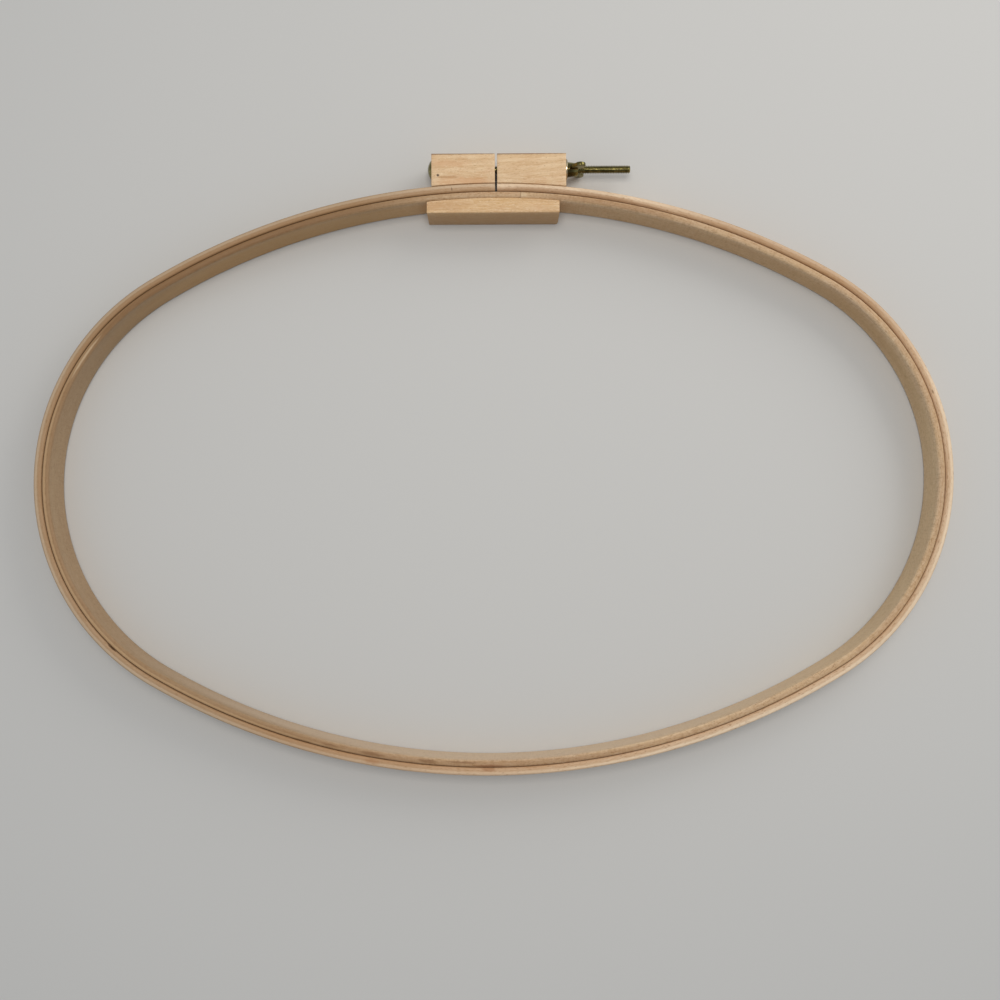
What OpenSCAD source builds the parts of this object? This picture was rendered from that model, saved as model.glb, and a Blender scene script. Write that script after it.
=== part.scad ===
// Oval quilting hoop, lying flat on its back edge.
// The origin is at the middle of the footprint, on the table. +X runs along the oval,
// +Y points from the oval's middle to the clamp, and +Z points up through the hoop.

/* [Hoop] */
// Length of the oval over the outer strip
hoop_len = 689; // [600:1:780]
// Width of the oval over the outer strip, without the clamp
hoop_w = 444.5; // [425:0.5:500]
// Depth of both strips and of all three blocks
band_depth = 28.6; // [28.6:0.1:40]
// Thickness of the outer strip
outer_t = 6; // [4.5:0.1:8]
// Thickness of the inner strip
inner_t = 4.8; // [4.2:0.1:7]
// Room for the cloth between the two strips
cloth_gap = 0.6; // [0.5:0.05:1.2]
// Rounding along the long edges of the strips
edge_r = 2; // [0.5:0.1:2]
// Width of the joint where the inner strip's ends meet
butt_gap = 0.2; // [0.1:0.05:0.5]
// Distance of that joint from the split of the outer strip
butt_off = 19; // [-30:1:30]

/* [Clamp] */
// Distance of the split from the middle of the hoop
split_off = 5; // [0:0.5:12]
// Gap between the clamp blocks when the hoop is closed
split_gap = 1.7; // [1:0.1:4]
// Length of the left block
left_len = 48.2; // [35:0.1:60]
// Length of the right block
right_len = 52.4; // [35:0.1:60]
// Height of the blocks over the outer strip at the split
block_h = 22.7; // [21:0.1:30]
// Rounding of the blocks' edges beside the split
block_round = 1.6; // [0.5:0.1:3]
// Thickness of the glue under each block
glue_t = 0.1; // [0.05:0.05:0.3]
// Diameter of the bolt hole through both blocks
hole_d = 7.94; // [7.7:0.01:9]

/* [Inner block] */
// Length of the block inside the inner strip
inner_block_len = 100.7; // [80:0.1:120]
// Thickness of that block at its middle
inner_block_t = 11.6; // [9:0.1:16]
// How far its middle lies left of the split
inner_block_off = 2.3; // [-10:0.1:10]
// Rounding of its lower right corner edge
inner_block_round = 3; // [1:0.1:6]

/* [Bolt] */
// Diameter of the bolt over its thread
bolt_d = 6.35; // [5:0.05:6.5]
// Length of the bolt under its head
bolt_len = 152.4; // [127:0.1:178]
// Height of the bolt's axis over the outer strip at the split
bolt_rise = 15.0; // [12.5:0.1:16]
// Diameter of the domed head
head_d = 15.1; // [12:0.1:18]
// Height of the domed head
head_h = 3.6; // [2.5:0.1:5]
// Height of the head's straight rim
head_rim = 0.6; // [0.3:0.1:1]
// Width across the square neck
neck_side = 6.6; // [6.55:0.05:7.2]
// Length of the square neck
neck_len = 4; // [3:0.1:6]
// Room round the square neck
neck_play = 0.1; // [0.05:0.05:0.3]
// Chamfer at the bolt's end
tip_chamfer = 0.7; // [0.3:0.1:1]

/* [Washer and wing nut] */
// Outside diameter of the washer
washer_d = 15.9; // [13:0.1:20]
// Bore of the washer
washer_bore = 7.14; // [7:0.01:8]
// Thickness of the washer
washer_t = 1.6; // [1:0.1:2.5]
// Room round the bolt in the wing nut
nut_play = 0.06; // [0.02:0.01:0.1]
// Diameter of the nut's hub where it meets the washer
hub_d = 11.6; // [11:0.1:14]
// Diameter of the nut's hub at its outer end
hub_top_d = 9.6; // [9:0.1:11]
// Height of the nut's hub
hub_h = 8.4; // [7:0.1:10]
// Span across both wings
wing_span = 27.6; // [24:0.1:28]
// Height of the wings over the washer
wing_h = 13.6; // [12:0.1:16]
// Thickness of the wings
wing_t = 2.8; // [2:0.1:3.5]
// Radius of each wing's rounded lobe
lobe_r = 4; // [3:0.1:4.5]
// Turn of the wings out of the hoop's plane
wing_turn = 90; // [0:1:90]

/* [Hidden] */
$fn = 180;
cut = 1;
wing_foot = 0.12;
wing_neck = 0.9;
strip_wood = [0.72, 0.58, 0.45];
block_wood = [0.80, 0.66, 0.48];
yellow_zinc = [0.62, 0.56, 0.33];

// The oval has four centres, two for the end bends and two for the flatter side bends. Each end
// centre, the middle and each side centre are the corners of a right triangle with sides of
// 33, 56 and 65 parts, so that the bends run smoothly into each other at whole parts. A part is
// rounded to 0.001 mm.
tri_x = 33;
tri_y = 56;
tri_slope = 65;
half_w = hoop_w / 2;
part = round((hoop_len / 2 - half_w) / (tri_x + tri_y - tri_slope) * 1000) / 1000;
end_cx = tri_x * part;
side_cy = tri_y * part;
side_r = half_w + side_cy;
end_r = side_r - tri_slope * part;
far = 3;
lap = 0.005;
inner_step = outer_t + cloth_gap;
inside_step = inner_step + inner_t;
clamp_turn = asin(split_off / side_r);
butt_turn = asin((split_off + butt_off) / side_r);
depth_mid = band_depth / 2;
bolt_y = half_w + bolt_rise;
block_top = half_w + block_h;
left_end = -split_gap / 2 - left_len;
right_end = split_gap / 2 + right_len;
high_y = from_clamp([left_end, block_top])[1];
mid_y = (high_y - half_w) / 2;

// Turns a point of the clamp's frame into the oval's frame.
function from_clamp(p) =
    let (c = cos(clamp_turn), s = sin(clamp_turn), y = p[1] + side_cy)
    [c * p[0] + s * y, c * y - s * p[0] - side_cy];

// Moves the oval's frame back, so that the origin is at the middle of the footprint.
module oval_frame() {
    translate([0, -mid_y, 0]) children();
}

// The clamp stands square to the outer strip at the split.
module clamp_frame() {
    oval_frame() translate([0, -side_cy, 0]) rotate([0, 0, -clamp_turn])
        translate([0, side_cy, 0]) children();
}

// Places something built along +Z on the bolt's axis, at a distance x from the split.
module on_bolt(x) {
    clamp_frame() translate([x, bolt_y, depth_mid]) rotate([0, 90, 0]) children();
}

// Cross-section of a strip, with its outer face at x = 0.
module strip_section(t) {
    r = min(edge_r, t / 2 - 0.1);
    translate([-t, r]) square([t, band_depth - 2 * r]);
    translate([-t + r, 0]) square([t - 2 * r, band_depth]);
    for (x = [-r, -t + r], y = [r, band_depth - r]) translate([x, y]) circle(r);
}

// A ring round a centre, kept between the rays that run to two far points. The rays can start
// a little beside the centre, so that one bend laps into the next.
module bend(centre, face_r, t, far_a, far_b, shift_x = 0) {
    intersection() {
        translate(centre) rotate_extrude() translate([face_r, 0]) strip_section(t);
        translate([shift_x, 0, -cut]) linear_extrude(band_depth + 2 * cut)
            polygon([[centre[0], centre[1]], far_a, far_b]);
    }
}

// A whole oval strip, with its outer face a step inside the hoop's outline.
module oval_strip(step, t) {
    far_x = far * end_cx;
    far_y = (far - 1) * side_cy;
    for (side = [-1, 1]) {
        far_a = [side * far_x, far_y];
        far_b = [side * far_x, -far_y];
        bend([0, -side * side_cy, 0], side_r - step, t, side * far_a, -side * far_b);
        bend([side * end_cx, 0, 0], end_r - step, t, far_a, far_b, -side * lap);
    }
}

// Half of the hoop's plane, on the side's side of the split and of the bottom's middle.
module half_plane(side) {
    inside = from_clamp([side * split_gap / 2, end_cx / 2]);
    outside = from_clamp([side * split_gap / 2, hoop_len]);
    polygon([
        [0, 0], inside, outside, [side * hoop_len, hoop_len], [side * hoop_len, -hoop_len],
        [0, -hoop_len]
    ]);
}

module outer_half(side) {
    oval_frame() intersection() {
        oval_strip(0, outer_t);
        translate([0, 0, -cut]) linear_extrude(band_depth + 2 * cut) half_plane(side);
    }
}

module outer_strip_left() {
    color(strip_wood) outer_half(-1);
}

module outer_strip_right() {
    color(strip_wood) outer_half(1);
}

module inner_strip() {
    color(strip_wood) oval_frame() difference() {
        oval_strip(inner_step, inner_t);
        translate([0, -side_cy, -cut]) rotate([0, 0, -butt_turn])
            translate([-butt_gap / 2, side_r - inside_step - cut, 0])
                cube([butt_gap, inner_t + 2 * cut, band_depth + 2 * cut]);
    }
}

// Rectangle from x = 0 to len, with both corners at x = 0 rounded.
module rounded_side(len, depth, r) {
    translate([r, 0]) square([len - r, depth]);
    translate([0, r]) square([len, depth - 2 * r]);
    for (y = [r, depth - r]) translate([r, y]) circle(r);
}

// A clamp block beside the split, before it is mirrored or drilled. It starts deep inside the
// hoop, and the strip's cut shapes its foot.
module block_body(len) {
    translate([split_gap / 2, block_top, 0]) rotate([90, 0, 0])
        linear_extrude(2 * block_h) rounded_side(len, band_depth, block_round);
}

module strip_cut() {
    translate([0, -side_cy, -cut]) cylinder(r = side_r + glue_t, h = band_depth + 2 * cut);
}

module hole(len) {
    translate([0, bolt_y, depth_mid]) rotate([0, 90, 0])
        translate([0, 0, -len / 2]) cylinder(d = hole_d, h = len);
}

module left_clamp_block() {
    seat = neck_side + 2 * neck_play;
    color(block_wood) clamp_frame() difference() {
        mirror([1, 0, 0]) block_body(left_len);
        strip_cut();
        hole(4 * left_len);
        translate([left_end - cut, bolt_y - seat / 2, depth_mid - seat / 2])
            cube([neck_len + neck_play + cut, seat, seat]);
    }
}

module right_clamp_block() {
    color(block_wood) clamp_frame() difference() {
        block_body(right_len);
        strip_cut();
        hole(4 * right_len);
    }
}

module inner_block() {
    face_r = side_r - inside_step - glue_t;
    low_y = half_w - inside_step - inner_block_t;
    left_x = -inner_block_off - inner_block_len / 2;
    color(block_wood) clamp_frame() intersection() {
        translate([0, -side_cy, 0]) cylinder(r = face_r, h = band_depth);
        translate([left_x, low_y + inner_block_t, 0]) rotate([90, 0, 0])
            linear_extrude(inner_block_t) inner_block_outline();
    }
}

// Outline of the inner block seen from its underside, with one rounded corner.
module inner_block_outline() {
    r = inner_block_round;
    len = inner_block_len;
    translate([0, r]) square([len, band_depth - r]);
    square([len - r, band_depth]);
    translate([len - r, r]) circle(r);
}

module bolt_head() {
    dome_h = head_h - head_rim;
    dome_r = (head_d * head_d / 4 + dome_h * dome_h) / (2 * dome_h);
    rotate_extrude() {
        translate([0, -head_rim]) square([head_d / 2, head_rim]);
        intersection() {
            translate([0, dome_r - head_h]) circle(dome_r);
            translate([0, -head_h]) square([head_d / 2, dome_h]);
        }
    }
}

module carriage_bolt() {
    r = bolt_d / 2;
    color(yellow_zinc) on_bolt(left_end) union() {
        bolt_head();
        translate([-neck_side / 2, -neck_side / 2, 0]) cube([neck_side, neck_side, neck_len]);
        rotate_extrude() polygon([
            [0, 0], [r, 0], [r, bolt_len - tip_chamfer], [r - tip_chamfer, bolt_len], [0, bolt_len]
        ]);
    }
}

module washer() {
    color(yellow_zinc) on_bolt(right_end) difference() {
        cylinder(d = washer_d, h = washer_t);
        translate([0, 0, -cut]) cylinder(d = washer_bore, h = washer_t + 2 * cut);
    }
}

// Where a line from point p touches the circle round c with radius r, on the given side.
function touch(p, c, r, side) =
    let (v = p - c, a = atan2(v[1], v[0]) + side * acos(r / norm(v)))
    c + r * [cos(a), sin(a)];

// One wing in profile: x is the distance from the axis, y the height over the washer. The wing
// leaves the hub between two shares of the hub's height.
module wing_outline() {
    lobe = [wing_span / 2 - lobe_r, wing_h - lobe_r];
    foot = [hub_d / 2 - wing_t / 2, wing_foot * hub_h];
    neck = [hub_top_d / 2 - wing_t / 2, wing_neck * hub_h];
    polygon([
        foot, touch(foot, lobe, lobe_r, 1), lobe, touch(neck, lobe, lobe_r, -1), neck
    ]);
    translate(lobe) circle(lobe_r);
}

module wing_nut() {
    bore_r = bolt_d / 2 + nut_play;
    color(yellow_zinc) on_bolt(right_end + washer_t) rotate([0, 0, wing_turn]) difference() {
        union() {
            cylinder(d1 = hub_d, d2 = hub_top_d, h = hub_h);
            for (turn = [90, 270])
                rotate([0, 0, turn]) translate([0, wing_t / 2, 0]) rotate([90, 0, 0])
                    linear_extrude(wing_t) wing_outline();
        }
        translate([0, 0, -cut]) cylinder(r = bore_r, h = hub_h + 2 * cut);
    }
}

outer_strip_left();
outer_strip_right();
left_clamp_block();
right_clamp_block();
carriage_bolt();
washer();
wing_nut();
inner_strip();
inner_block();
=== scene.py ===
import math

import bmesh
import bpy
from mathutils import Matrix, Vector


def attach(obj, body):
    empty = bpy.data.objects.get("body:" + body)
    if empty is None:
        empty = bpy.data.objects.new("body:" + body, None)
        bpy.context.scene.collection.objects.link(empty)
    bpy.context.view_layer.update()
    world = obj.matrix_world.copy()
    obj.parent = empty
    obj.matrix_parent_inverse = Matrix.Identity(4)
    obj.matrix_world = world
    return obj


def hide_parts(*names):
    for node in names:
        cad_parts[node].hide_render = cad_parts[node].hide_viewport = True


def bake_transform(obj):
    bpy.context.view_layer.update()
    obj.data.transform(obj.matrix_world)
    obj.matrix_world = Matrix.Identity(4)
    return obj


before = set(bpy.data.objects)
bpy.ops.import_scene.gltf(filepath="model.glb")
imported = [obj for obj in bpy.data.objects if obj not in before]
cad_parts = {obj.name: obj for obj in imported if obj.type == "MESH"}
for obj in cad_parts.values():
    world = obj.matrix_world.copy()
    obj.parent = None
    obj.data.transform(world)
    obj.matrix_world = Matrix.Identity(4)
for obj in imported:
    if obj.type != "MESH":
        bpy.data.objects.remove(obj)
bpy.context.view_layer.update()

print("stage: sizes and places")

# Sizes are in millimetres in the oval's or the clamp's own frame. Each piece goes to metres
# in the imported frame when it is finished.
oval = {
    "width": 444.5,         # over the outer strip
    "depth": 28.6,          # height of the strips as the hoop lies flat
    "unit": 5.094,          # the four bends' centres stand on 33-56-65 triangles of this unit
    "middleY": 11.57875,    # from the oval's middle to the middle of the footprint
    "splitX": 5.0,          # the clamp's split, right of the oval's middle
    "splitGap": 1.7,
    "buttX": 24.0,          # where the inner strip's two ends meet
    "buttGap": 0.2,
}
endCentre = 33 * oval["unit"]
sideCentre = 56 * oval["unit"]
sideRadius = oval["width"] / 2 + sideCentre
endRadius = sideRadius - 65 * oval["unit"]
seamAngle = math.atan2(33, 56)
quarterArc = sideRadius * seamAngle + endRadius * (math.pi / 2 - seamAngle)
wholeArc = 4 * quarterArc
clampTurn = math.asin(oval["splitX"] / sideRadius)

mergeGap = 0.002            # points closer than this are one
ringGap = 0.03              # rounding drifts by up to this as a bend is spun
sharpAngle = math.radians(35)       # edges sharper than this stay sharp in the shading

toMetres = Matrix.Scale(0.001, 4)
ovalPlace = toMetres @ Matrix.Translation((0, -oval["middleY"], 0))
# the clamp's own frame has its split at x = 0, and its y points straight out of the bend there
clampPlace = (
    ovalPlace
    @ Matrix.Translation((0, -sideCentre, 0))
    @ Matrix.Rotation(-clampTurn, 4, "Z")
    @ Matrix.Translation((0, sideCentre, 0))
)


def hexColour(text):
    # sRGB hex to the linear colour that the shaders take
    values = [int(text[i:i + 2], 16) / 255 for i in (1, 3, 5)]
    linear = [v / 12.92 if v <= 0.04045 else ((v + 0.055) / 1.055) ** 2.4 for v in values]
    return (*linear, 1.0)


def addNode(tree, kind, sockets=None, **settings):
    # sockets gives each input, by name or number, a value or another node's output
    node = tree.nodes.new(kind)
    for key, value in settings.items():
        setattr(node, key, value)
    for key, value in (sockets or {}).items():
        if isinstance(value, bpy.types.NodeSocket):
            tree.links.new(value, node.inputs[key])
        else:
            node.inputs[key].default_value = value
    return node


print("stage: materials")


def patternMasks(tree, coords, patterns):
    # each pattern is soft noise of a size in mm, spread so that low to high becomes 0 to 1
    masks = {}
    for key, pattern in patterns.items():
        sized = addNode(
            tree, "ShaderNodeMapping",
            {"Vector": coords, "Scale": [1 / size for size in pattern["size"]]},
        )
        spots = addNode(
            tree, "ShaderNodeTexNoise",
            {"Vector": sized.outputs[0], "Scale": 1.0, "Detail": pattern.get("detail", 3.0),
             "Roughness": 0.6, "Distortion": pattern.get("swirl", 0.0)},
        )
        masks[key] = addNode(
            tree, "ShaderNodeMapRange",
            {"Value": spots.outputs["Fac"], "From Min": pattern["low"],
             "From Max": pattern["high"]},
            interpolation_type="SMOOTHSTEP",
        ).outputs[0]
    return masks


def tintedColour(tree, base, tints, masks):
    # lays each tint over the base colour by its mask and strength
    colour = hexColour(base)
    for key, tint, strength in tints:
        share = addNode(
            tree, "ShaderNodeMath", {0: masks[key], 1: strength}, operation="MULTIPLY"
        ).outputs[0]
        colour = addNode(
            tree, "ShaderNodeMix", {0: share, 6: colour, 7: hexColour(tint)}, data_type="RGBA"
        ).outputs[2]
    return colour


def markedColour(tree, colour, coords, marks):
    # spots and stains with uneven edges, each round a centre and with a half size in mm
    wanderSize = 2.5        # mm between one bay of an edge and the next
    wander = addNode(
        tree, "ShaderNodeTexNoise", {"Vector": coords, "Scale": 1 / wanderSize, "Detail": 3.0}
    )
    centred = addNode(
        tree, "ShaderNodeVectorMath", {0: wander.outputs["Color"], 1: (0.5, 0.5, 0.5)},
        operation="SUBTRACT",
    )
    fadeIn, fadeOut = 0.5, 1.2      # shares of the half size between which a mark fades
    for mark in marks:
        shifted = addNode(
            tree, "ShaderNodeVectorMath",
            {0: centred.outputs[0], 1: [mark.get("uneven", 2.0)] * 3, 2: coords},
            operation="MULTIPLY_ADD",
        )
        offset = addNode(
            tree, "ShaderNodeVectorMath", {0: shifted.outputs[0], 1: mark["centre"]},
            operation="SUBTRACT",
        )
        reach = addNode(
            tree, "ShaderNodeVectorMath", {0: offset.outputs[0], 1: mark["half"]},
            operation="DIVIDE",
        )
        length = addNode(
            tree, "ShaderNodeVectorMath", {0: reach.outputs[0]}, operation="LENGTH"
        ).outputs["Value"]
        share = addNode(
            tree, "ShaderNodeMapRange",
            {"Value": length, "From Min": fadeOut, "From Max": fadeIn,
             "To Max": mark["strength"]},
            interpolation_type="SMOOTHSTEP",
        ).outputs[0]
        colour = addNode(
            tree, "ShaderNodeMix", {0: share, 6: colour, 7: hexColour(mark["tint"])},
            data_type="RGBA",
        ).outputs[2]
    return colour


def newMaterial(name):
    material = bpy.data.materials.new(name)
    material.use_nodes = True
    material.node_tree.nodes.clear()
    return material


def addSurface(tree, look, colour, dullness, relief, sockets):
    # the shader, whose roughness follows one pattern and whose fine relief follows another
    roughness = addNode(
        tree, "ShaderNodeMapRange",
        {"Value": dullness, "To Min": look["roughness"][0], "To Max": look["roughness"][1]},
    ).outputs[0]
    bump = addNode(
        tree, "ShaderNodeBump",
        {"Height": relief, "Strength": look["bump"], "Distance": look["relief"] / 1000},
    ).outputs[0]
    shader = addNode(
        tree, "ShaderNodeBsdfPrincipled",
        {"Base Color": colour, "Roughness": roughness, "Normal": bump, **sockets},
    )
    addNode(tree, "ShaderNodeOutputMaterial", {"Surface": shader.outputs[0]})


def makeWood(name, look):
    material = newMaterial(name)
    tree = material.node_tree
    if look["bent"]:    # mm along, into and up the strip, kept on the mesh
        place = addNode(tree, "ShaderNodeAttribute", attribute_name="grain").outputs["Vector"]
    else:
        metres = addNode(tree, "ShaderNodeTexCoord").outputs["Object"]
        place = addNode(
            tree, "ShaderNodeMapping", {"Vector": metres, "Scale": (1000, 1000, 1000)}
        ).outputs[0]
    coords = addNode(
        tree, "ShaderNodeMapping", {"Vector": place, "Rotation": (0, 0, look["grainTurn"])}
    ).outputs[0]
    masks = patternMasks(tree, coords, look["patterns"])
    if "rings" in look:     # growth rings, which run along the block and curve over its ends
        around = addNode(
            tree, "ShaderNodeVectorMath", {0: coords, 1: look["rings"]["centre"]},
            operation="SUBTRACT",
        )
        masks["rings"] = addNode(
            tree, "ShaderNodeTexWave",
            {"Vector": around.outputs[0], "Scale": math.pi / 10 / look["rings"]["spacing"],
             "Distortion": 2.5, "Detail": 3.0, "Detail Scale": 0.9},
            wave_type="RINGS", rings_direction="X",
        ).outputs["Fac"]
    colour = tintedColour(tree, look["base"], look["tints"], masks)
    colour = markedColour(tree, colour, place, look["marks"])
    # fibres and streaks stand up, and flecks are sunk
    relief = masks["streaks"]
    for key, share in (("fibres", 0.6), ("flecks", -0.8)):
        relief = addNode(
            tree, "ShaderNodeMath", {0: masks[key], 1: share, 2: relief},
            operation="MULTIPLY_ADD",
        ).outputs[0]
    addSurface(
        tree, look, colour, masks["blotches"], relief, {"IOR": 1.5, "Specular IOR Level": 0.35}
    )
    return material


# Beech, steam bent and sanded by hand, worn matt: greyish tan with long soft streaks and the
# short dark flecks of its rays. Towards the groove between the strips the wood is browned and
# painted in shade. Down the left side of the hoop it is darker, partly from its own tone and
# partly from painted shade for the light that falls off towards that side. Each pattern's size
# is in mm along, into and up the strip. Real fibres are under 0.1 mm wide, and are drawn
# coarser so that they show.
stripPatterns = {
    "blotches": {"size": (42, 9, 12), "low": 0.35, "high": 0.7},
    "warm": {"size": (75, 7, 20), "low": 0.45, "high": 0.72},
    "streaks": {"size": (60, 1.5, 1.5), "low": 0.3, "high": 0.72, "detail": 4.0, "swirl": 0.3},
    "fibres": {"size": (7, 0.5, 0.5), "low": 0.35, "high": 0.65},
    "flecks": {"size": (3.0, 0.7, 0.7), "low": 0.57, "high": 0.72, "detail": 1.0},
    "glints": {"size": (4.0, 0.9, 0.9), "low": 0.55, "high": 0.72, "detail": 2.0},
}
# fine marks across the inner face, left by the plane
chatter = {"size": (1.2, 3.0, 8.0), "low": 0.46, "high": 0.72}
stripTints = [
    ("blotches", "#cfb192", 0.8),
    ("warm", "#d0a67c", 0.55),
    ("streaks", "#bc966e", 0.5),
    ("fibres", "#ecd4b4", 0.45),
    ("flecks", "#8c6542", 0.6),
    ("glints", "#f4e0c4", 0.4),
]
endless = 1e6               # half size of a mark that has no end that way
# the darker tone of the left side, which also paints in shade for light falling off towards the left
darkToneAndShadeTint = "#94795a"
stainTint = "#744a24"
outerLook = {
    "bent": True,
    "grainTurn": 0.0,
    "base": "#e6cbad",
    "patterns": stripPatterns,
    "tints": stripTints,
    "roughness": (0.5, 0.62),
    "bump": 0.5,
    "relief": 0.06,
    "marks": [
        # darker down the left side, partly the wood's own darker tone and partly painted shade for
        # light that falls off towards the left
        {"centre": (1250, 3, 14), "half": (300, endless, endless), "tint": darkToneAndShadeTint, "strength": 0.7,
         "uneven": 30.0},
        {"centre": (1600, 3, 14), "half": (190, endless, endless), "tint": darkToneAndShadeTint, "strength": 0.75,
         "uneven": 30.0},
        {"centre": (245, 3, 14), "half": (120, endless, endless), "tint": "#9a6e40",
         "strength": 0.5, "uneven": 30.0},
        {"centre": (980, 3, 14), "half": (130, endless, endless), "tint": "#a8743f",
         "strength": 0.34, "uneven": 20.0},
        # browner left of the clamp; right of it, smudges and painted shade darken the side towards
        # the groove
        {"centre": (1760, 3, 14), "half": (300, endless, endless), "tint": "#8f6c44",
         "strength": 0.38, "uneven": 20.0},
        {"centre": (60, 5.4, 28.6), "half": (80, 2.8, 3.0), "tint": "#8a5e36", "strength": 0.5,
         "uneven": 1.5},
        # painted highlight: paler near the outside, where the rounded front catches the light, more
        # so at the right; and painted shade, browned, towards the groove
        {"centre": (600, 1.9, 28.6), "half": (260, 1.4, 2.0), "tint": "#f6e2c6", "strength": 0.35,
         "uneven": 0.8},
        {"centre": (0, 1.9, 28.6), "half": (endless, 1.2, 2.0), "tint": "#f2dcc0", "strength": 0.22,
         "uneven": 0.8},
        {"centre": (0, 6.0, 28.6), "half": (endless, 3.3, 4.0), "tint": "#a87848", "strength": 0.3,
         "uneven": 1.0},
        # a chip in the edge of the groove
        {"centre": (1212, 5.8, 28.0), "half": (5.0, 0.6, 1.4), "tint": "#4a2c16", "strength": 0.85,
         "uneven": 0.9},
        # a small nick, and a tick beside the left block
        {"centre": (387.5, 4.0, 28.4), "half": (2.0, 0.7, 1.5), "tint": "#6b4a2c", "strength": 0.6,
         "uneven": 0.8},
        {"centre": (1779.8, 3.6, 28.6), "half": (0.45, 1.5, 1.5), "tint": "#5b3f28",
         "strength": 0.75, "uneven": 0.3},
        # stains at the bottom
        {"centre": (909, 4.6, 28.4), "half": (6.0, 1.6, 2.5), "tint": "#9a6238", "strength": 0.5},
        {"centre": (996, 3.4, 28.4), "half": (6.0, 2.0, 2.5), "tint": "#a36b3e", "strength": 0.4},
    ],
}
innerLook = {
    "bent": True,
    "grainTurn": 0.0,
    "base": "#dabb92",
    "patterns": dict(stripPatterns, chatter=chatter),
    "tints": stripTints + [("chatter", "#8a6844", 0.3)],
    "roughness": (0.5, 0.62),
    "bump": 0.5,
    "relief": 0.06,
    "marks": [
        # darker down the left side: the wood's own darker tone there, with painted shade for light
        # falling off towards the left
        {"centre": (1231, 8, 14), "half": (300, endless, endless), "tint": darkToneAndShadeTint, "strength": 0.7,
         "uneven": 30.0},
        {"centre": (1581, 8, 14), "half": (190, endless, endless), "tint": darkToneAndShadeTint, "strength": 0.75,
         "uneven": 30.0},
        # the inner face is tinted olive at the right and yellower at the top; it is painted lighter
        # at the bottom, which faces the light, and painted darker at the top, where it is in shade
        {"centre": (520, 11.4, 12), "half": (330, 1.2, 17), "tint": "#d0b78e", "strength": 0.5},
        {"centre": (880, 11.4, 12), "half": (300, 1.2, 17), "tint": "#d3bda4", "strength": 0.6},
        {"centre": (130, 11.4, 12), "half": (300, 1.2, 17), "tint": "#a87c42", "strength": 0.5},
        {"centre": (1650, 11.4, 12), "half": (200, 1.2, 17), "tint": "#c08f48", "strength": 0.4},
        # handling has browned the front, most of all at the upper left and at the bottom
        {"centre": (0, 8.5, 29.6), "half": (endless, 5.0, 1.8), "tint": "#936838", "strength": 0.32,
         "uneven": 1.0},
        {"centre": (1575, 8.8, 28.8), "half": (160, 3.2, 3.4), "tint": "#704a22", "strength": 0.5,
         "uneven": 1.6},
        {"centre": (1420, 10.8, 28.6), "half": (420, 1.9, 3.0), "tint": "#7a5228", "strength": 0.3,
         "uneven": 1.2},
        {"centre": (920, 8.8, 28.8), "half": (190, 3.0, 3.4), "tint": "#8f643c", "strength": 0.34,
         "uneven": 1.6},
        # painted shade, browned, along the edge beside the groove
        {"centre": (0, 6.4, 28.0), "half": (endless, 1.2, 3.0), "tint": "#8f5c30", "strength": 0.12,
         "uneven": 0.8},
        # stains at the bottom, and a brown patch right of the butt
        {"centre": (889, 7.2, 28.4), "half": (13.0, 1.2, 2.5), "tint": "#8a5230", "strength": 0.55},
        {"centre": (910, 9.6, 28.4), "half": (14.0, 0.9, 2.5), "tint": stainTint, "strength": 0.45},
        {"centre": (936, 9.0, 28.4), "half": (8.0, 1.5, 2.5), "tint": stainTint, "strength": 0.55},
        {"centre": (978, 8.8, 28.4), "half": (10.0, 1.6, 2.5), "tint": stainTint, "strength": 0.5},
        {"centre": (1010, 8.6, 28.4), "half": (7.0, 1.4, 2.5), "tint": stainTint, "strength": 0.4},
        {"centre": (1030, 7.3, 28.4), "half": (7.0, 1.1, 2.5), "tint": stainTint, "strength": 0.4},
        {"centre": (72, 9.2, 28.6), "half": (66, 2.4, 3.0), "tint": "#8a6038", "strength": 0.42,
         "uneven": 3.0},
        # painted highlight on the rounded edge beside the groove, down the darker left side
        {"centre": (1230, 7.7, 28.6), "half": (260, 1.4, 2.0), "tint": "#d8b488", "strength": 0.4,
         "uneven": 0.8},
        # a pale scrape, and a pale patch at the butt
        {"centre": (1442, 9.3, 28.5), "half": (22.0, 0.9, 2.0), "tint": "#dcc3a0",
         "strength": 0.5, "uneven": 0.6},
        {"centre": (2.4, 9.0, 28.6), "half": (2.8, 2.0, 3.0), "tint": "#dcc3a0", "strength": 0.5},
    ],
}
outerWood = makeWood("beech bent and sanded, outer strip", outerLook)
innerWood = makeWood("beech bent and sanded, inner strip", innerLook)

# Maple blocks, sawn square and sanded smooth: paler than the strips, with faint
# growth rings that run along the block and show as arcs on its sawn ends. Sizes are in mm
# along, into and up the block, and the fibres are drawn coarser than real ones here too.
blockPatterns = {
    "blotches": {"size": (26, 9, 9), "low": 0.35, "high": 0.7},
    "warm": {"size": (18, 12, 12), "low": 0.45, "high": 0.7},
    "streaks": {"size": (40, 1.8, 1.8), "low": 0.3, "high": 0.72, "detail": 4.0, "swirl": 0.5},
    "fibres": {"size": (6, 0.4, 0.4), "low": 0.35, "high": 0.65},
    "flecks": {"size": (1.8, 0.5, 0.5), "low": 0.6, "high": 0.74, "detail": 1.0},
    "glints": {"size": (3.0, 0.8, 0.8), "low": 0.55, "high": 0.72, "detail": 2.0},
}
blockTints = [
    ("blotches", "#d8b48c", 0.8),
    ("warm", "#d6a67e", 0.5),
    ("rings", "#c8a070", 0.5),
    ("streaks", "#c09668", 0.5),
    ("fibres", "#f0d6b0", 0.45),
    ("flecks", "#906a46", 0.45),
    ("glints", "#f6e4c8", 0.3),
]


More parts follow.
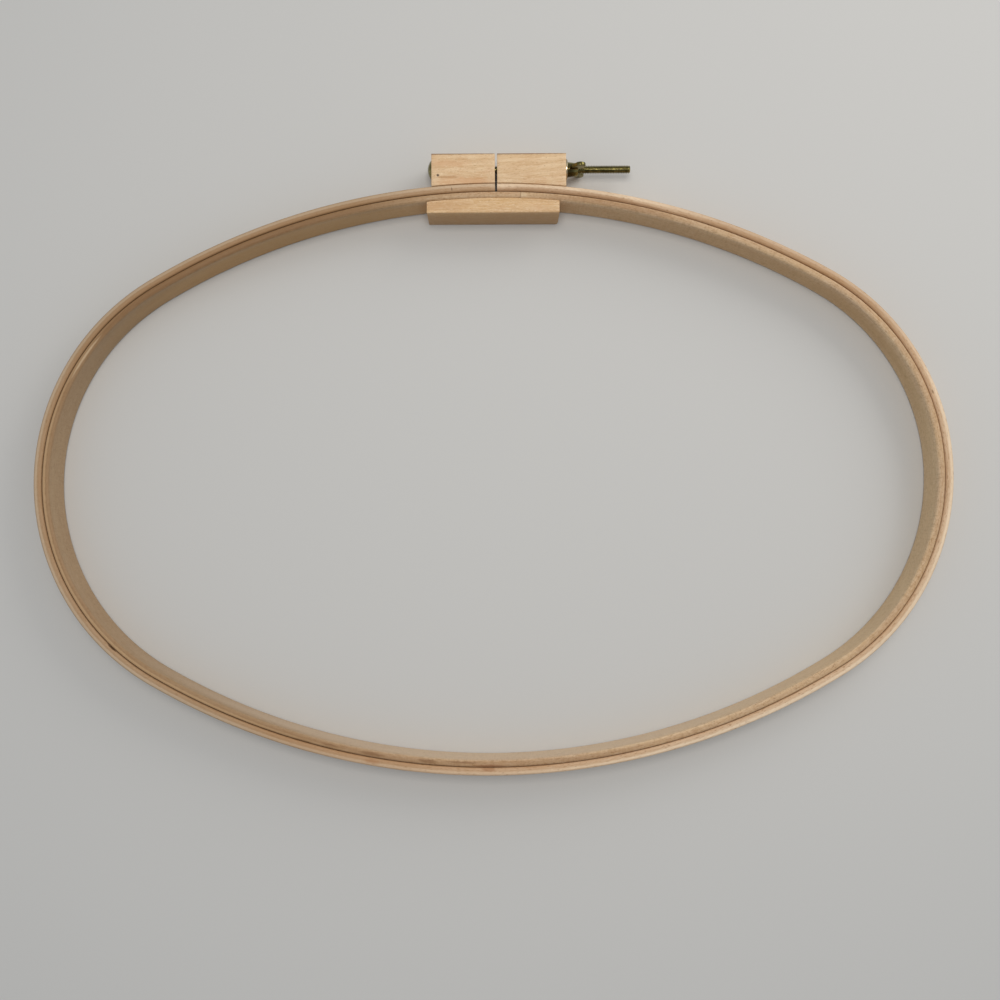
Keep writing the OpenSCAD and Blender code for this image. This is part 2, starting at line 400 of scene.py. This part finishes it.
def blockLook(base, centre, spacing, grainTurn, marks):
    # centre is where the tree's middle was, and spacing is that of its growth rings, in mm
    return {
        "bent": False,
        "grainTurn": grainTurn,
        "base": base,
        "rings": {"centre": centre, "spacing": spacing},
        "patterns": blockPatterns,
        "tints": blockTints,
        "roughness": (0.45, 0.58),
        "bump": 0.5,
        "relief": 0.05,
        "marks": marks,
    }


# painted shade: a dark line along a clamp block's eased top edge, where it lies in shadow
shadedEdge = {"centre": (0, 233.6, 28.8), "half": (endless, 1.0, 1.3), "tint": "#6f503a",
             "strength": 0.72, "uneven": 0.8}
leftLook = blockLook("#e6c8a2", (0, 204, 60), 3.2, 0.02, [
    shadedEdge,
    # a pin knot, and the grain that swirls round it
    {"centre": (-39.0, 217.0, 28.6), "half": (1.1, 1.0, 1.5), "tint": "#4b3424", "strength": 0.95,
     "uneven": 0.8},
    {"centre": (-31.7, 215.5, 28.6), "half": (9.0, 1.3, 4.0), "tint": "#a9743f", "strength": 0.55},
    {"centre": (-20, 211.5, 28.6), "half": (24, 4, 4), "tint": "#cf9866", "strength": 0.45,
     "uneven": 6.0},
    {"centre": (-30, 226, 28.6), "half": (16, 3, 4), "tint": "#d2a074", "strength": 0.4,
     "uneven": 6.0},
])
rightLook = blockLook("#e4c6a0", (0, 262, 74), 3.6, -0.05, [
    dict(shadedEdge, centre=(0, 233.1, 28.8)),
])
innerBlockLook = blockLook("#d3a973", (0, 150, 52), 3.4, 0.03, [
    # painted shade: the face towards the quilt's middle is darker and browner, as it faces away from
    # the light
    {"centre": (0, 187.4, 12), "half": (endless, 1.9, 20), "tint": "#8c6230", "strength": 0.6},
    {"centre": (-34, 193.4, 28.6), "half": (20, 4, 4), "tint": "#b98a58", "strength": 0.3,
     "uneven": 6.0},
])
leftWood = makeWood("maple sanded, left block", leftLook)
rightWood = makeWood("maple sanded, right block", rightLook)
innerBlockWood = makeWood("maple sanded, inner block", innerBlockLook)


def makeZinc(name, look):
    material = newMaterial(name)
    tree = material.node_tree
    place = addNode(tree, "ShaderNodeTexCoord").outputs["Object"]
    coords = addNode(
        tree, "ShaderNodeMapping", {"Vector": place, "Scale": (1000, 1000, 1000)}
    ).outputs[0]
    masks = patternMasks(tree, coords, look["patterns"])
    colour = tintedColour(tree, look["base"], look["tints"], masks)
    colour = markedColour(tree, colour, coords, look["marks"])
    addSurface(tree, look, colour, masks["dull"], masks["grit"], {"Metallic": 1.0})
    return material


# Steel hardware, zinc plated and yellow chromated: olive to pale gold with a faint pink and
# green bloom, dulled by handling. Round the nut's foot, next to the washer, shade is painted in
# near black, and the washer is brighter and cleaner.
boltLook = {
    "base": "#9e9562",
    "patterns": {
        "bloom": {"size": (5, 5, 5), "low": 0.35, "high": 0.65},
        "pink": {"size": (3, 3, 3), "low": 0.5, "high": 0.72},
        "dull": {"size": (1.5, 1.5, 1.5), "low": 0.35, "high": 0.7},
        "grit": {"size": (0.3, 0.3, 0.3), "low": 0.3, "high": 0.7},
    },
    "tints": [("bloom", "#6a6338", 0.8), ("pink", "#8d6a4c", 0.25), ("dull", "#3e3a20", 0.55)],
    "roughness": (0.12, 0.24),
    "bump": 0.4,
    "relief": 0.01,
    "marks": [],
}
nutLook = dict(boltLook, marks=[
    # painted shade round the nut's foot, next to the washer
    {"centre": (61.5, 222.6, 15.0), "half": (5.0, 6.0, 11.0), "tint": "#241207",
     "strength": 0.75},
])
washerLook = dict(
    boltLook, base="#d6c8ac", roughness=(0.2, 0.34),
    tints=[("bloom", "#b3a584", 0.6), ("pink", "#c09c80", 0.3), ("dull", "#7c6e54", 0.45)],
)
boltZinc = makeZinc("yellow zinc plated steel, dulled, bolt", boltLook)
nutZinc = makeZinc("yellow zinc plated steel, dulled, nut", nutLook)
washerZinc = makeZinc("pale zinc plated steel, washer", washerLook)


print("stage: strips")


def alongOval(x, y, cutX):
    # mm clockwise along the outer face from a cut near the top, and mm inwards from that face
    side = 1 if y > 0 else -1
    bend = math.atan2(x, side * y + sideCentre)
    if abs(bend) <= seamAngle:
        inwards = sideRadius - math.hypot(x, side * y + sideCentre)
        arc = sideRadius * bend if side > 0 else wholeArc / 2 - sideRadius * bend
    else:
        end = 1 if x > 0 else -1
        inwards = endRadius - math.hypot(end * x - endCentre, y)
        arc = end * (quarterArc - endRadius * math.atan2(y, end * x - endCentre))
    return (arc - cutX) % wholeArc, inwards


def finishPiece(name, bm, place, material, nodes, body=None):
    # cleans the mesh, takes it to its place in metres and tells the frame what it stands for
    bmesh.ops.remove_doubles(bm, verts=bm.verts, dist=mergeGap)
    bmesh.ops.recalc_face_normals(bm, faces=bm.faces)
    bmesh.ops.transform(bm, matrix=place, verts=bm.verts)
    mesh = bpy.data.meshes.new(name)
    bm.to_mesh(mesh)
    bm.free()
    mesh.polygons.foreach_set("use_smooth", [True] * len(mesh.polygons))
    mesh.set_sharp_from_angle(angle=sharpAngle)
    mesh.materials.append(material)
    piece = bpy.data.objects.new(name, mesh)
    bpy.context.scene.collection.objects.link(piece)
    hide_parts(*nodes)
    if body:
        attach(piece, body)
    return piece


def joined(bm, other):
    # adds another bmesh's geometry to the first
    mesh = bpy.data.meshes.new("work")
    other.to_mesh(mesh)
    other.free()
    bm.from_mesh(mesh)
    bpy.data.meshes.remove(mesh)
    return bm


def closeEnds(bm):
    bmesh.ops.holes_fill(bm, edges=[edge for edge in bm.edges if edge.is_boundary], sides=0)


def makeStrip(strip):
    # a rounded section, spun round the bends' centres from one end of the strip to the other
    section = bmesh.new()
    outerY = oval["width"] / 2 - strip["inset"]
    innerY = outerY - strip["thick"]
    corners = [
        section.verts.new((0, y, z))
        for y, z in ((outerY, 0), (outerY, oval["depth"]), (innerY, oval["depth"]), (innerY, 0))
    ]
    section.faces.new(corners)
    bmesh.ops.bevel(
        section, geom=corners, offset=strip["edgeRound"], offset_type="OFFSET",
        affect="VERTICES", segments=strip["edgeSegments"], profile=0.5, material=-1,
    )
    bmesh.ops.delete(section, geom=section.faces[:], context="FACES_ONLY")
    tall = [edge for edge in section.edges if edge.calc_length() > oval["depth"] / 2]
    bmesh.ops.bisect_edges(section, edges=tall, cuts=strip["heightCuts"])
    startTurn = math.asin((strip["cutX"] + strip["gap"] / 2) / sideRadius)
    endTurn = math.asin((strip["cutX"] - strip["gap"] / 2) / sideRadius)
    endSweep = math.pi - 2 * seamAngle
    bmesh.ops.rotate(
        section, cent=(0, -sideCentre, 0), matrix=Matrix.Rotation(-startTurn, 3, "Z"),
        verts=section.verts,
    )
    bm = bmesh.new()
    for centre, radius, sweep in (
        ((0, -sideCentre, 0), sideRadius, seamAngle - startTurn),
        ((endCentre, 0, 0), endRadius, endSweep),
        ((0, sideCentre, 0), sideRadius, 2 * seamAngle),
        ((-endCentre, 0, 0), endRadius, endSweep),
        ((0, -sideCentre, 0), sideRadius, seamAngle + endTurn),
    ):
        bend = section.copy()
        bmesh.ops.spin(
            bend, geom=bend.verts[:] + bend.edges[:], cent=centre, axis=(0, 0, 1), angle=-sweep,
            steps=round(radius * sweep / strip["stepLength"]),
        )
        bm = joined(bm, bend)
        bmesh.ops.rotate(
            section, cent=centre, matrix=Matrix.Rotation(-sweep, 3, "Z"), verts=section.verts
        )
    section.free()
    bmesh.ops.remove_doubles(bm, verts=bm.verts, dist=ringGap)
    closeEnds(bm)
    bmesh.ops.recalc_face_normals(bm, faces=bm.faces)
    grain = bm.verts.layers.float_vector.new("grain")
    for vert in bm.verts:
        arc, inwards = alongOval(vert.co.x, vert.co.y, strip["cutX"])
        vert[grain] = (arc, inwards, vert.co.z)
    # each dent is deepest at its centre and runs out at its half size
    for dent in strip["dents"]:
        for vert in bm.verts:
            reach = [
                (value - middle) / half
                for value, middle, half in zip(vert[grain], dent["centre"], dent["half"])
            ]
            share = 1 - sum(value ** 2 for value in reach)
            if share > 0:
                vert.co -= vert.normal * dent["depth"] * share
    return bm


outerStrip = {
    "inset": 0.0, "thick": 6.0, "edgeRound": 1.8, "edgeSegments": 6, "heightCuts": 9,
    "stepLength": 2.5, "cutX": oval["splitX"], "gap": oval["splitGap"],
    "dents": [
        {"centre": (1212, 6.0, 28.6), "half": (6.5, 1.4, 2.2), "depth": 0.45},
        {"centre": (387.5, 4.0, 28.6), "half": (3.0, 1.2, 1.0), "depth": 0.5},
    ],
}
innerStrip = {
    "inset": 6.4, "thick": 5.0, "edgeRound": 1.8, "edgeSegments": 6, "heightCuts": 9,
    "stepLength": 2.5, "cutX": oval["buttX"], "gap": oval["buttGap"],
    "dents": [],
}
outerPiece = finishPiece(
    "outer_hoop_strip", makeStrip(outerStrip), ovalPlace, outerWood,
    ["outer_strip_left", "outer_strip_right"],
)
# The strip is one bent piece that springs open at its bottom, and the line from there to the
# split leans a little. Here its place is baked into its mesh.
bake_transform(outerPiece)
finishPiece(
    "inner_hoop_strip", makeStrip(innerStrip), ovalPlace, innerWood,
    ["inner_strip"], "inner_hoop",
)

print("stage: blocks")

bolt = {
    "axisY": 237.25,        # 15 over the outer strip
    "start": -49.05,        # under the head, on the left block's end
    "end": 103.35,          # 6 inches further on
    "threadRadius": 3.175,  # 1/4 inch with 20 threads to the inch
    "rootRadius": 2.42,
    "pitch": 1.27,
    "threadStart": 20.0,    # from the head
    "threadSides": 20,
    "shankRadius": 3.1,
    "headRadius": 7.55,
    "domeHeight": 3.0,
    "rimHeight": 0.6,
    "rimRound": 0.3,
    "neckSide": 6.6,
    "neckLength": 4.0,
    "neckSunk": 0.3,        # into the head
    "neckGap": 0.2,         # its seat in the left block is wider by this, and half as much deeper
    "tipChamfer": 0.7,
    # the thread over one pitch: which radius, and how far along
    "threadForm": (
        ("rootRadius", 0.0), ("rootRadius", 0.22), ("threadRadius", 0.55),
        ("threadRadius", 0.67), ("rootRadius", 1.0),
    ),
}


def boltPlace(x):
    # where something built along +Z stands on the bolt's axis, x from the split
    return (
        Matrix.Translation((x, bolt["axisY"], oval["depth"] / 2))
        @ Matrix.Rotation(math.pi / 2, 4, "Y")
    )


def makeBlock(block):
    # a sawn block whose one long side is hollowed or crowned to the strip that it is glued to
    bm = bmesh.new()
    bmesh.ops.create_cube(bm, size=1)
    bmesh.ops.translate(bm, vec=(0.5, 0.5, 0.5), verts=bm.verts)
    bmesh.ops.scale(
        bm, vec=(block["high"] - block["low"], 1, oval["depth"]), verts=bm.verts
    )
    bmesh.ops.translate(bm, vec=(block["low"], 0, 0), verts=bm.verts)
    rounded = [
        edge for edge in bm.edges
        if all(
            abs(vert.co.x - block["roundX"]) < 0.01 and vert.co.z in block["roundZ"]
            for vert in edge.verts
        )
    ]
    bmesh.ops.bevel(
        bm, geom=rounded, offset=block["round"], offset_type="OFFSET", affect="EDGES",
        segments=8, profile=0.5, material=-1,
    )
    for i in range(1, block["slices"]):
        x = block["low"] + (block["high"] - block["low"]) * i / block["slices"]
        bmesh.ops.bisect_plane(
            bm, geom=bm.verts[:] + bm.edges[:] + bm.faces[:], plane_co=(x, 0, 0), plane_no=(1, 0, 0)
        )
    for vert in bm.verts:       # until here the two long sides stand at 0 and 1
        glued = math.sqrt(block["glueRadius"] ** 2 - vert.co.x ** 2) - sideCentre
        vert.co.y = glued if vert.co.y < 0.5 else block["flatY"]
    bmesh.ops.recalc_face_normals(bm, faces=bm.faces)
    corner = math.radians(40)
    bmesh.ops.bevel(
        bm, geom=[edge for edge in bm.edges if edge.calc_face_angle(0) > corner],
        offset=block["ease"], offset_type="OFFSET", affect="EDGES", segments=3,
        profile=0.5, material=-1, clamp_overlap=True,
    )
    return bm


def withModifiers(bm, modifiers):
    # runs modifiers on a bmesh and gives back the result as a new one
    mesh = bpy.data.meshes.new("work")
    bm.to_mesh(mesh)
    bm.free()
    work = bpy.data.objects.new("work", mesh)
    bpy.context.scene.collection.objects.link(work)
    for kind, settings in modifiers:
        modifier = work.modifiers.new(kind, kind)
        for key, value in settings.items():
            setattr(modifier, key, value)
    shown = work.evaluated_get(bpy.context.evaluated_depsgraph_get())
    result = bmesh.new()
    result.from_mesh(bpy.data.meshes.new_from_object(shown))
    bpy.data.objects.remove(work)
    return result


def makeCutter(bm):
    mesh = bpy.data.meshes.new("cutter")
    bm.to_mesh(mesh)
    bm.free()
    cutter = bpy.data.objects.new("cutter", mesh)
    bpy.context.scene.collection.objects.link(cutter)
    return cutter


def drilled(bm, cutters):
    result = withModifiers(bm, [
        ("BOOLEAN", {"operation": "DIFFERENCE", "solver": "EXACT", "object": cutter})
        for cutter in cutters
    ])
    for cutter in cutters:
        bpy.data.objects.remove(cutter)
    return result


holeRadius = 3.97           # 5/16 inch


def boltHole(low, high):
    bm = bmesh.new()
    bmesh.ops.create_cone(
        bm, cap_ends=True, segments=64, radius1=holeRadius, radius2=holeRadius, depth=high - low
    )
    bmesh.ops.transform(bm, matrix=boltPlace((low + high) / 2), verts=bm.verts)
    return makeCutter(bm)


def neckSeat():
    bm = bmesh.new()
    bmesh.ops.create_cube(bm, size=1)
    side = bolt["neckSide"] + bolt["neckGap"]
    depth = 2 * bolt["neckLength"] + bolt["neckGap"]
    bmesh.ops.scale(bm, vec=(side, side, depth), verts=bm.verts)
    bmesh.ops.transform(bm, matrix=boltPlace(bolt["start"]), verts=bm.verts)
    return makeCutter(bm)


# low and high are a block's ends, from the split. The clamp blocks are rounded where they meet.
clampBlock = {
    "flatY": 244.95, "glueRadius": sideRadius + 0.1, "roundZ": (0.0, oval["depth"]),
    "round": 1.6, "slices": 16, "ease": 0.45,
}
halfGap = oval["splitGap"] / 2
leftBlock = dict(clampBlock, low=bolt["start"], high=-halfGap, roundX=-halfGap)
rightBlock = dict(clampBlock, low=halfGap, high=53.25, roundX=halfGap)
innerBlock = {
    "low": -52.65, "high": 48.05, "flatY": 199.25, "glueRadius": sideRadius - 11.5,
    "roundX": 48.05, "roundZ": (0.0,), "round": 3.0, "slices": 30, "ease": 0.5,
}
drillPast = 2.0             # how far a drill runs out past a block's end
finishPiece(
    "clamp_block_left",
    drilled(makeBlock(leftBlock), [boltHole(leftBlock["low"] - drillPast, 0.0), neckSeat()]),
    clampPlace, leftWood, ["left_clamp_block"], "outer_hoop_left",
)
finishPiece(
    "clamp_block_right",
    drilled(makeBlock(rightBlock), [boltHole(0.0, rightBlock["high"] + drillPast)]),
    clampPlace, rightWood, ["right_clamp_block"], "outer_hoop_right",
)
finishPiece(
    "block_inside", makeBlock(innerBlock), clampPlace, innerBlockWood,
    ["inner_block"], "inner_hoop",
)

print("stage: hardware")


def makeBolt():
    # the domed head is the cap of a ball, with a straight rim drawn down from it
    domeRadius = (bolt["headRadius"] ** 2 + bolt["domeHeight"] ** 2) / (2 * bolt["domeHeight"])
    rimZ = -bolt["rimHeight"]
    bm = bmesh.new()
    bmesh.ops.create_uvsphere(bm, u_segments=64, v_segments=96, radius=domeRadius)
    bmesh.ops.translate(
        bm, vec=(0, 0, rimZ - bolt["domeHeight"] + domeRadius), verts=bm.verts
    )
    bmesh.ops.bisect_plane(
        bm, geom=bm.verts[:] + bm.edges[:] + bm.faces[:], plane_co=(0, 0, rimZ),
        plane_no=(0, 0, 1), clear_outer=True,
    )
    rim = [edge for edge in bm.edges if edge.is_boundary]
    drawn = bmesh.ops.extrude_edge_only(bm, edges=rim)["geom"]
    lowRim = [item for item in drawn if isinstance(item, bmesh.types.BMVert)]
    bmesh.ops.translate(bm, vec=(0, 0, bolt["rimHeight"]), verts=lowRim)
    closeEnds(bm)
    bmesh.ops.recalc_face_normals(bm, faces=bm.faces)
    bmesh.ops.bevel(
        bm, geom=[edge for edge in bm.edges if edge.calc_face_angle(0) > sharpAngle],
        offset=bolt["rimRound"], offset_type="OFFSET", affect="EDGES", segments=3,
        profile=0.5, material=-1,
    )
    # square neck
    neck = bmesh.ops.create_cube(bm, size=1)["verts"]
    sunk = bolt["neckSunk"]
    bmesh.ops.scale(
        bm, vec=(bolt["neckSide"], bolt["neckSide"], bolt["neckLength"] + sunk), verts=neck
    )
    bmesh.ops.translate(bm, vec=(0, 0, (bolt["neckLength"] - sunk) / 2), verts=neck)
    # plain shank up to the thread
    shankEnd = bolt["threadStart"] + bolt["pitch"]
    shank = bmesh.ops.create_cone(
        bm, cap_ends=True, segments=48, radius1=bolt["shankRadius"],
        radius2=bolt["shankRadius"], depth=shankEnd,
    )["verts"]
    bmesh.ops.translate(bm, vec=(0, 0, shankEnd / 2), verts=shank)
    return bm


def makeThread():
    # one turn of the thread is spun and repeated, then cut square and chamfered at the tip
    length = bolt["end"] - bolt["start"]
    pitch = bolt["pitch"]
    bm = bmesh.new()
    profile = [
        bm.verts.new((bolt[radius], 0, bolt["threadStart"] - pitch + rise * pitch))
        for radius, rise in bolt["threadForm"]
    ]
    edges = [bm.edges.new(pair) for pair in zip(profile, profile[1:])]
    bmesh.ops.spin(
        bm, geom=profile + edges, cent=(0, 0, 0), axis=(0, 0, 1), angle=2 * math.pi,
        dvec=(0, 0, pitch / bolt["threadSides"]), steps=bolt["threadSides"],
    )
    turn = bm.verts[:] + bm.edges[:] + bm.faces[:]
    for i in range(math.ceil((length - bolt["threadStart"]) / pitch) + 1):
        copied = bmesh.ops.duplicate(bm, geom=turn)["geom"]
        bmesh.ops.translate(
            bm, vec=(0, 0, (i + 1) * pitch),
            verts=[item for item in copied if isinstance(item, bmesh.types.BMVert)],
        )
    bmesh.ops.remove_doubles(bm, verts=bm.verts, dist=mergeGap)
    for z, normal in ((bolt["threadStart"], (0, 0, -1)), (length, (0, 0, 1))):
        bmesh.ops.bisect_plane(
            bm, geom=bm.verts[:] + bm.edges[:] + bm.faces[:], plane_co=(0, 0, z),
            plane_no=normal, clear_outer=True,
        )
    closeEnds(bm)
    for vert in bm.verts:
        allowed = bolt["threadRadius"] - bolt["tipChamfer"] + length - vert.co.z
        radius = vert.co.xy.length
        if radius > allowed:
            vert.co.xy = vert.co.xy * allowed / radius
    return bm


finishPiece(
    "threaded_bolt", joined(makeBolt(), makeThread()), clampPlace @ boltPlace(bolt["start"]),
    boltZinc, ["carriage_bolt"], "outer_hoop_left",
)

washer = {"outerRadius": 7.95, "boreRadius": 3.57, "thick": 1.6, "edgeRound": 0.35}


def makeWasher():
    bm = bmesh.new()
    corners = [
        bm.verts.new((radius, 0, z))
        for radius, z in (
            (washer["boreRadius"], 0), (washer["outerRadius"], 0),
            (washer["outerRadius"], washer["thick"]), (washer["boreRadius"], washer["thick"]),
        )
    ]
    bm.faces.new(corners)
    bmesh.ops.bevel(
        bm, geom=corners, offset=washer["edgeRound"], offset_type="OFFSET", affect="VERTICES",
        segments=4, profile=0.5, material=-1,
    )
    bmesh.ops.delete(bm, geom=bm.faces[:], context="FACES_ONLY")
    bmesh.ops.spin(
        bm, geom=bm.verts[:] + bm.edges[:], cent=(0, 0, 0), axis=(0, 0, 1),
        angle=2 * math.pi, steps=72, use_merge=True,
    )
    return bm


washerX = rightBlock["high"]
finishPiece(
    "plain_washer", makeWasher(), clampPlace @ boltPlace(washerX), washerZinc,
    ["washer"], "washer_slider",
)

wing = {
    "hubRadius": 5.8, "hubTopRadius": 4.8, "hubHeight": 8.4, "span": 27.6, "height": 13.6,
    "thick": 2.8, "lobe": 4.0, "turn": 180.0, "bore": 3.235, "drillLength": 40,
    "rootLow": 1.0,         # where the wings leave the hub, above its foot
    "rootHigh": 7.6,
    "rootSunk": 1.4,        # how far inside the hub they start
    "voxel": 0.3,           # remesh size that runs the wings into the hub
    "smoothing": 6,
}


def makeWingNut():
    bm = bmesh.new()
    hub = bmesh.ops.create_cone(
        bm, cap_ends=True, segments=64, radius1=wing["hubRadius"], radius2=wing["hubTopRadius"],
        depth=wing["hubHeight"],
    )["verts"]
    bmesh.ops.translate(bm, vec=(0, 0, wing["hubHeight"] / 2), verts=hub)
    lobeX = wing["span"] / 2 - wing["lobe"]
    lobeZ = wing["height"] - wing["lobe"]
    roots = (
        (wing["hubRadius"] - wing["rootSunk"], wing["rootLow"]),
        (wing["hubTopRadius"] - wing["rootSunk"], wing["rootHigh"]),
    )
    # each wing is the hull of two discs and four points inside the hub
    for side in (-1, 1):
        outline = []
        for y in (-wing["thick"] / 2, wing["thick"] / 2):
            lobe = bmesh.ops.create_circle(bm, segments=40, radius=wing["lobe"])["verts"]
            bmesh.ops.rotate(
                bm, cent=(0, 0, 0), matrix=Matrix.Rotation(math.pi / 2, 3, "X"), verts=lobe
            )
            bmesh.ops.translate(bm, vec=(side * lobeX, y, lobeZ), verts=lobe)
            outline += lobe
            outline += [bm.verts.new((side * x, y, z)) for x, z in roots]
        hull = bmesh.ops.convex_hull(bm, input=outline)
        inside = [item for item in hull["geom_interior"] if isinstance(item, bmesh.types.BMVert)]
        bmesh.ops.delete(bm, geom=inside, context="VERTS")
    bmesh.ops.recalc_face_normals(bm, faces=bm.faces)
    bmesh.ops.rotate(
        bm, cent=(0, 0, 0), matrix=Matrix.Rotation(math.radians(wing["turn"]), 3, "Z"),
        verts=bm.verts,
    )
    bm = withModifiers(bm, [
        ("REMESH", {"mode": "VOXEL", "voxel_size": wing["voxel"]}),
        ("SMOOTH", {"factor": 0.5, "iterations": wing["smoothing"]}),
    ])
    bore = bmesh.new()
    bmesh.ops.create_cone(
        bore, cap_ends=True, segments=64, radius1=wing["bore"], radius2=wing["bore"],
        depth=wing["drillLength"],
    )
    return drilled(bm, [makeCutter(bore)])


finishPiece(
    "wing_nut_cast", makeWingNut(), clampPlace @ boltPlace(washerX + washer["thick"]),
    nutZinc, ["wing_nut"], "nut",
)

print("stage: floor, light and camera")

# metres from here on
floorSize = 30.0
floorDrop = 0.0002          # keeps it clear of the hoop's underside
bm = bmesh.new()
bmesh.ops.create_grid(bm, x_segments=2, y_segments=2, size=floorSize / 2)
bmesh.ops.translate(bm, vec=(0, 0, -floorDrop), verts=bm.verts)
floorMesh = bpy.data.meshes.new("floor")
bm.to_mesh(floorMesh)
bm.free()
floor = bpy.data.objects.new("floor", floorMesh)
bpy.context.scene.collection.objects.link(floor)
floorMaterial = bpy.data.materials.new("pale plain floor")
floorMaterial.use_nodes = True
floorShader = floorMaterial.node_tree.nodes["Principled BSDF"]
floorShader.inputs["Base Color"].default_value = hexColour("#cccccb")
floorShader.inputs["Roughness"].default_value = 0.9
floorShader.inputs["Specular IOR Level"].default_value = 0.2
floorMesh.materials.append(floorMaterial)

world = bpy.data.worlds.new("soft room light")
bpy.context.scene.world = world
world.use_nodes = True
background = world.node_tree.nodes["Background"]
background.inputs["Color"].default_value = hexColour("#e8ecf0")
background.inputs["Strength"].default_value = 0.5

lamps = {
    "window light": {"at": (1.1, 1.0, 0.8), "size": 1.0, "power": 9, "tint": "#fffaf2"},
    "ceiling light": {"at": (0.0, 0.2, 1.5), "size": 0.6, "power": 8, "tint": "#fff8ee"},
}
for name, lamp in lamps.items():
    data = bpy.data.lights.new(name, "AREA")
    data.energy = lamp["power"]
    data.size = lamp["size"]
    data.color = hexColour(lamp["tint"])[:3]
    light = bpy.data.objects.new(name, data)
    light.location = lamp["at"]
    light.rotation_euler = (-Vector(lamp["at"])).to_track_quat("-Z", "Y").to_euler()
    bpy.context.scene.collection.objects.link(light)

# the camera looks nearly straight down: pitch and roll are degrees from that
view = {
    "at": (0.0039, -0.06335, 0.7746), "pitch": 2.56, "roll": -0.86, "lens": 36.0, "sensor": 36.0
}
cameraData = bpy.data.cameras.new("photo view")
cameraData.sensor_width = view["sensor"]
cameraData.lens = view["lens"]
camera = bpy.data.objects.new("photo view", cameraData)
camera.location = view["at"]
camera.rotation_euler = (math.radians(view["pitch"]), 0, math.radians(view["roll"]))
bpy.context.scene.collection.objects.link(camera)
bpy.context.scene.camera = camera
bpy.context.scene.view_settings.view_transform = "Standard"
